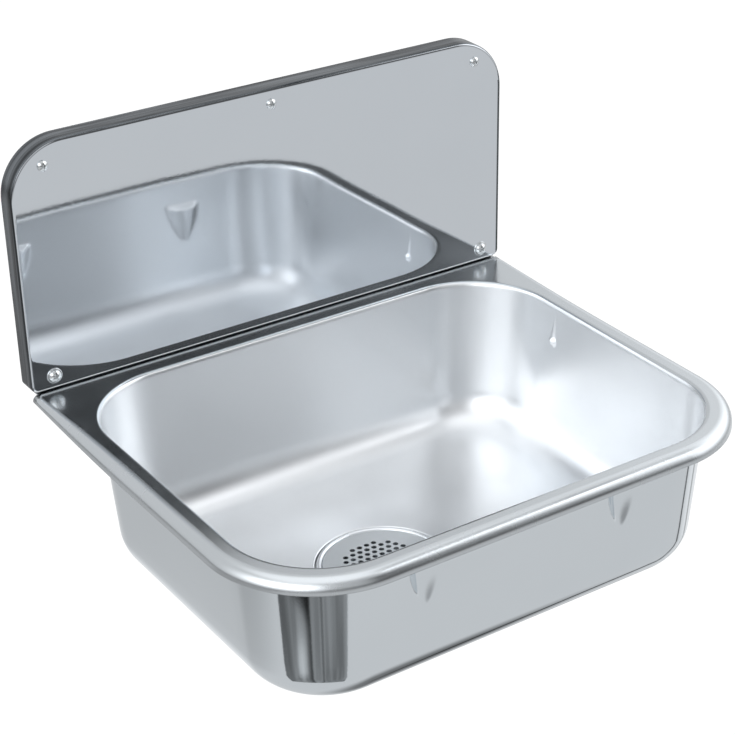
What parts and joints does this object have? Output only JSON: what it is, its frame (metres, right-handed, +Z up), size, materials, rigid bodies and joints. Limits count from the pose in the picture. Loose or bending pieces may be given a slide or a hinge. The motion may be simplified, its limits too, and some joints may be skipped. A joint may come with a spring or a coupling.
{
  "type": "wall-hung slop sink",
  "caption": "Wall-hung stainless steel slop sink: pressed bowl with a rolled rim, low splashback screwed to the wall and a lift-out round strainer in an off-centre waste.",
  "frame": {"origin": "on the room's wall, on the sink's centre line, at the height of the deck's top face", "axes": "+X to the right as seen by a user, +Y into the wall, +Z up"},
  "size_m": [0.45, 0.426, 0.4106],
  "materials": {
    "satin_steel": "fine satin inside the bowl, polished on the deck and outside",
    "mirror_steel": "mirror polished stainless sheet",
    "bright_steel": "polished, with fine turning marks",
    "strainer_steel": "satin, concentric marks",
    "screw_steel": "bright stainless",
    "zinc_plate": "zinc-plated steel",
    "black_rubber": "matt",
    "grey_sealant": "matt grey strip",
    "grey_plastic": "moulded, slightly rough",
    "core_board": "pressed board",
    "yellow_brass": "turned"
  },
  "bodies": {
    "sink": {"basin": "satin_steel", "splashback": "mirror_steel", "splashback_core": "core_board", "foot_seal": "grey_sealant", "wall_screws": "screw_steel", "wall_screw_washers": "screw_steel", "splashback_screws": "screw_steel", "left_wall_bracket": "zinc_plate", "right_wall_bracket": "zinc_plate", "bracket_screws": "zinc_plate", "heel_pads": "black_rubber", "waste_flange": "bright_steel", "flange_seal": "black_rubber", "waste_gasket": "black_rubber", "waste_body": "grey_plastic", "insert_nut": "yellow_brass", "clamping_screw": "screw_steel"},
    "lift_out_strainer": {"strainer": "strainer_steel"}
  },
  "joints": [
    {"name": "strainer_lift", "type": "slide", "parent": "sink", "child": "lift_out_strainer", "axis": [0, 0, 1], "range_m": [0, 0.18]}
  ]
}
